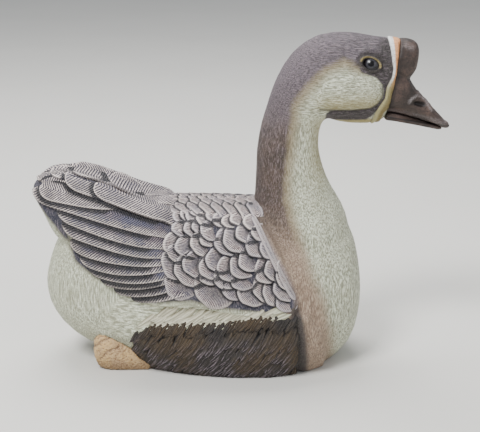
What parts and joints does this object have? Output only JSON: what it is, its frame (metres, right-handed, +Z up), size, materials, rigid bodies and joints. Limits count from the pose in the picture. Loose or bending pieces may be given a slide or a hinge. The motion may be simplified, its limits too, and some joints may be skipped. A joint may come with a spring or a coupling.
{
  "type": "painted garden statue of a resting domestic goose",
  "caption": "Painted cast garden statue of a resting knob-billed domestic goose, life-size, with folded carved wings, upright neck and a flat base.",
  "frame": {"origin": "centre of the footprint of the whole statue, on the flat base that it stands on", "axes": "+Z up; +X from tail to bill; +Y to the bird's left, across the wings"},
  "size_m": [0.5534, 0.2284, 0.445],
  "materials": {
    "pale_plumage": "matt painted cast resin, cream with a grey-brown crown and nape",
    "wing_plumage": "matt painted cast resin, mauve-grey with dry-brushed pale feather rims",
    "flight_plumage": "matt painted cast resin, slate grey with dry-brushed cream edges",
    "thigh_plumage": "matt painted cast resin, dark brown with grey highlights",
    "bill": "satin painted cast resin, dark brown",
    "eye": "gloss varnished paint, brown-grey iris with a black pupil",
    "foot": "matt painted cast resin, tan orange"
  },
  "bodies": {
    "root": {"body": "pale_plumage", "neck_lower": "pale_plumage", "neck_upper": "pale_plumage", "head": "pale_plumage", "dewlap": "pale_plumage", "bill_upper": "bill", "bill_lower": "bill", "bill_knob": "bill", "mantle": "wing_plumage", "tail": "flight_plumage", "eye_left": "eye", "eye_right": "eye", "wing_coverts_left": "wing_plumage", "wing_coverts_right": "wing_plumage", "wing_flight_left": "flight_plumage", "wing_flight_right": "flight_plumage", "thigh_left": "thigh_plumage", "thigh_right": "thigh_plumage", "foot_left": "foot", "foot_right": "foot"}
  },
  "joints": []
}
